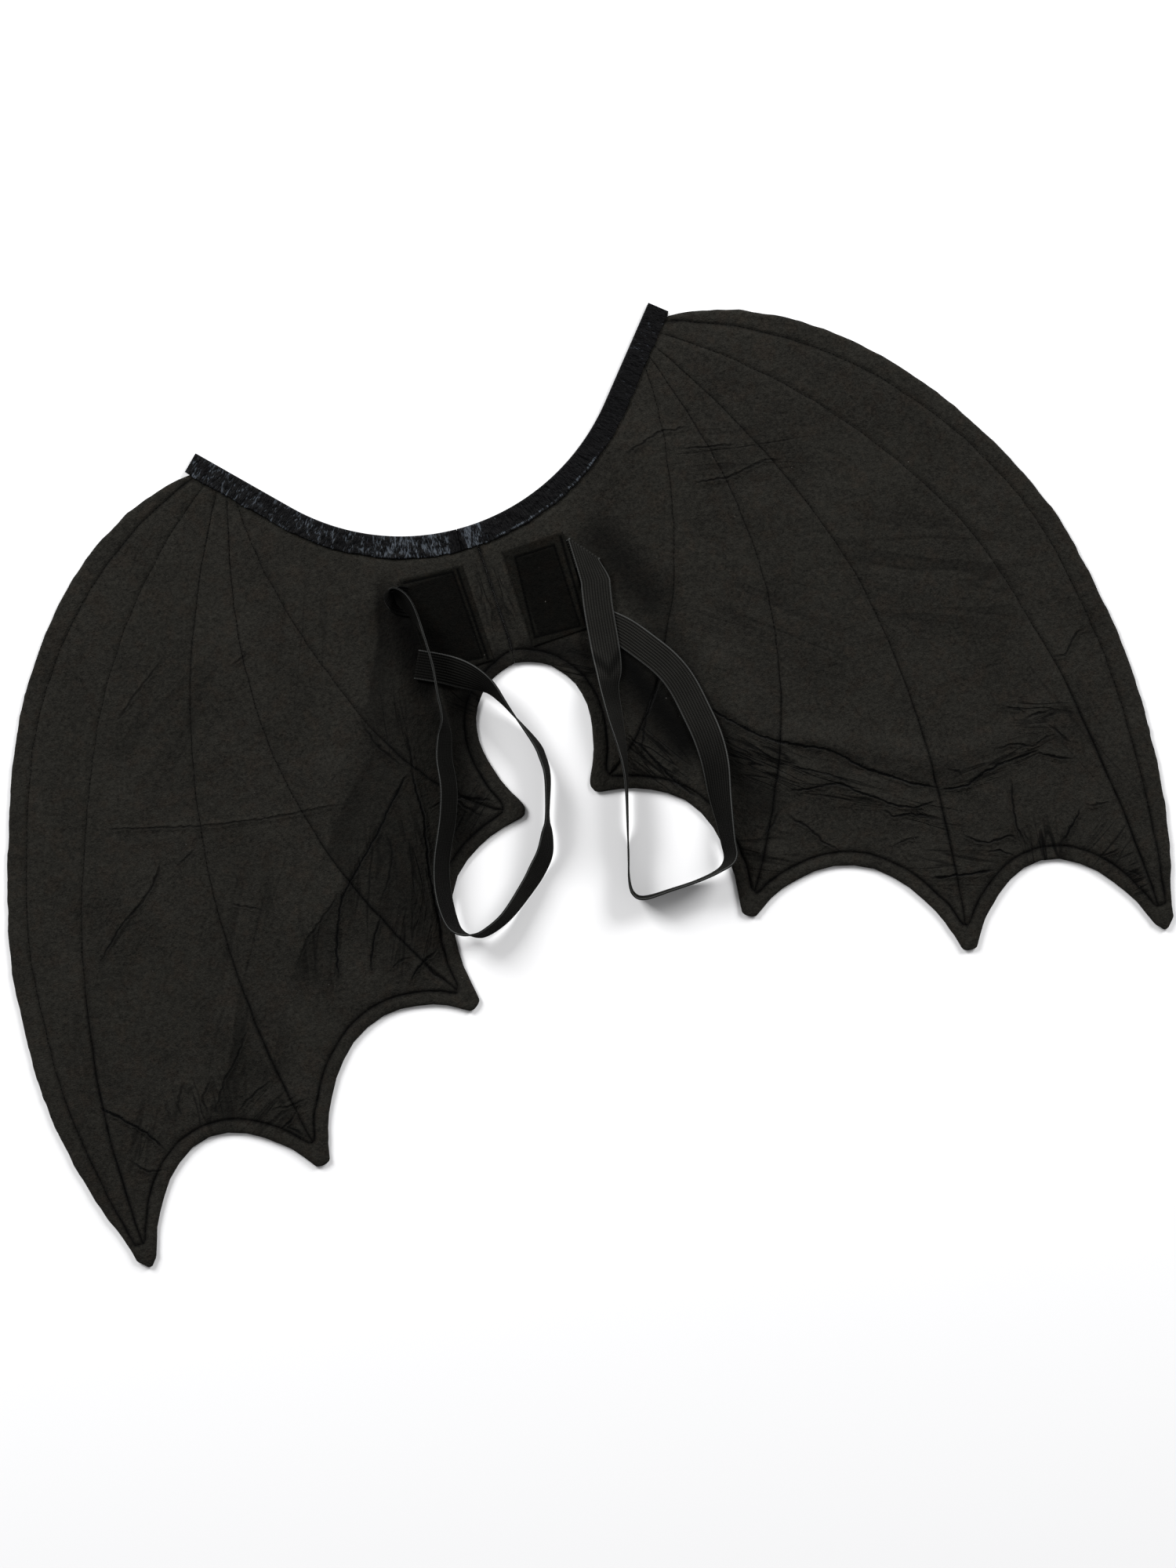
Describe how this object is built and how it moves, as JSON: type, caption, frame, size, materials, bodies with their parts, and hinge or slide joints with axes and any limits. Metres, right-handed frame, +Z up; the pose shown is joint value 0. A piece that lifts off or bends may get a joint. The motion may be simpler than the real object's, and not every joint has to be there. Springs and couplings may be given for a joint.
{
  "type": "costume bat wings",
  "caption": "Pair of padded black cloth bat wings with quilted ribs, a ribbon-bound neck edge and elastic arm loops.",
  "frame": {"origin": "middle of the wings' box at the surface that they lie on", "axes": "+X along the span to the wearer's right as the inner side is looked at, +Y towards the neck edge, +Z up out of the inner side"},
  "size_m": [0.783, 0.5074, 0.0275],
  "materials": {
    "wing_cloth": "matte",
    "neck_ribbon": "satin",
    "patch_cloth": "matte",
    "elastic": "matte"
  },
  "bodies": {
    "root": {"wing_left": "wing_cloth", "wing_right": "wing_cloth", "neck_binding_left": "neck_ribbon", "neck_binding_right": "neck_ribbon", "patch_left": "patch_cloth", "patch_right": "patch_cloth", "arm_loop_left": "elastic", "arm_loop_right": "elastic"}
  },
  "joints": []
}
